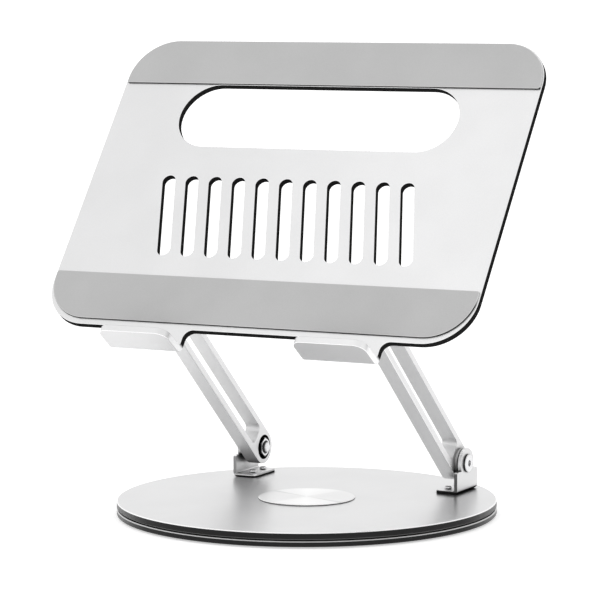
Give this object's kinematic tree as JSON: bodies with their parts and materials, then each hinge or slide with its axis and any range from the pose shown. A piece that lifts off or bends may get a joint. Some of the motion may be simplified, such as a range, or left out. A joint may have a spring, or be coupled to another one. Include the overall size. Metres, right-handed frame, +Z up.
{
  "type": "laptop stand",
  "caption": "Swivelling laptop stand: round base, folding friction arms and a tilting vented tray with front hooks and silicone pads.",
  "frame": {"origin": "on the table, under the centre of the round base", "axes": "+Z up, +X to the user's right, -Y towards the user, with the tray's hooks on the -Y side"},
  "size_m": [0.27, 0.22, 0.2713],
  "materials": {
    "tray_aluminium": "fine bead-blasted, clear anodised",
    "bracket_aluminium": "bead-blasted, clear anodised",
    "arm_aluminium": "bead-blasted, clear anodised",
    "base_aluminium": "satin, clear anodised, polished chamfers",
    "spun_cap": "spun with fine concentric lines",
    "grey_silicone": "matt grey silicone",
    "black_rubber": "matt black rubber",
    "zinc_steel": "bright zinc plate",
    "bearing_steel": "ground and polished",
    "nylon": "natural nylon",
    "friction_fibre": "dark fibre friction disc"
  },
  "bodies": {
    "base": {"base_plate": "base_aluminium", "base_feet": "black_rubber", "swivel_axle": "zinc_steel", "axle_rivets": "zinc_steel", "bearing_race_lower": "bearing_steel"},
    "turntable": {"bearing_race_upper": "bearing_steel", "ball_cage": "nylon", "bearing_balls": "bearing_steel", "turntable_plate": "base_aluminium", "swivel_bush": "nylon", "retaining_washer": "nylon", "retaining_ring": "zinc_steel", "hub_cap": "spun_cap", "base_bracket_left": "bracket_aluminium", "base_bracket_right": "bracket_aluminium", "base_bracket_screws": "zinc_steel", "base_hinge_bolts": "zinc_steel", "base_hinge_nuts": "zinc_steel", "base_hinge_washers": "zinc_steel", "base_friction_washers": "friction_fibre", "base_spacers": "zinc_steel"},
    "arm_left": {"arm_left": "arm_aluminium", "arm_left_bushes": "nylon"},
    "arm_right": {"arm_right": "arm_aluminium", "arm_right_bushes": "nylon"},
    "tray": {"tray_plate": "tray_aluminium", "pad_top": "grey_silicone", "pad_bottom": "grey_silicone", "tray_bracket_left": "bracket_aluminium", "tray_bracket_right": "bracket_aluminium", "tray_bracket_screws": "zinc_steel", "tray_hinge_bolts": "zinc_steel", "tray_hinge_nuts": "zinc_steel", "tray_hinge_washers": "zinc_steel", "tray_friction_washers": "friction_fibre", "tray_spacers": "zinc_steel"}
  },
  "joints": [
    {"name": "base_swivel", "type": "hinge", "parent": "base", "child": "turntable", "pos_m": [0, 0, 0.009], "axis": [0, 0, 1], "continuous": true},
    {"name": "arm_lift", "type": "hinge", "parent": "turntable", "child": "arm_left", "pos_m": [0, 0.0605, 0.0259], "axis": [-1, 0, 0], "range_deg": [-27.1, 47.9]},
    {"name": "arm_lift_right", "type": "hinge", "parent": "turntable", "child": "arm_right", "pos_m": [0, 0.0605, 0.0259], "axis": [-1, 0, 0], "range_deg": [-27.1, 47.9]},
    {"name": "tray_tilt", "type": "hinge", "parent": "arm_left", "child": "tray", "pos_m": [0, -0.04709, 0.12311], "axis": [1, 0, 0], "range_deg": [-75, 49.7]}
  ],
  "couplings": [
    {"joint": "arm_lift_right", "follows": "arm_lift", "ratio": 1}
  ]
}
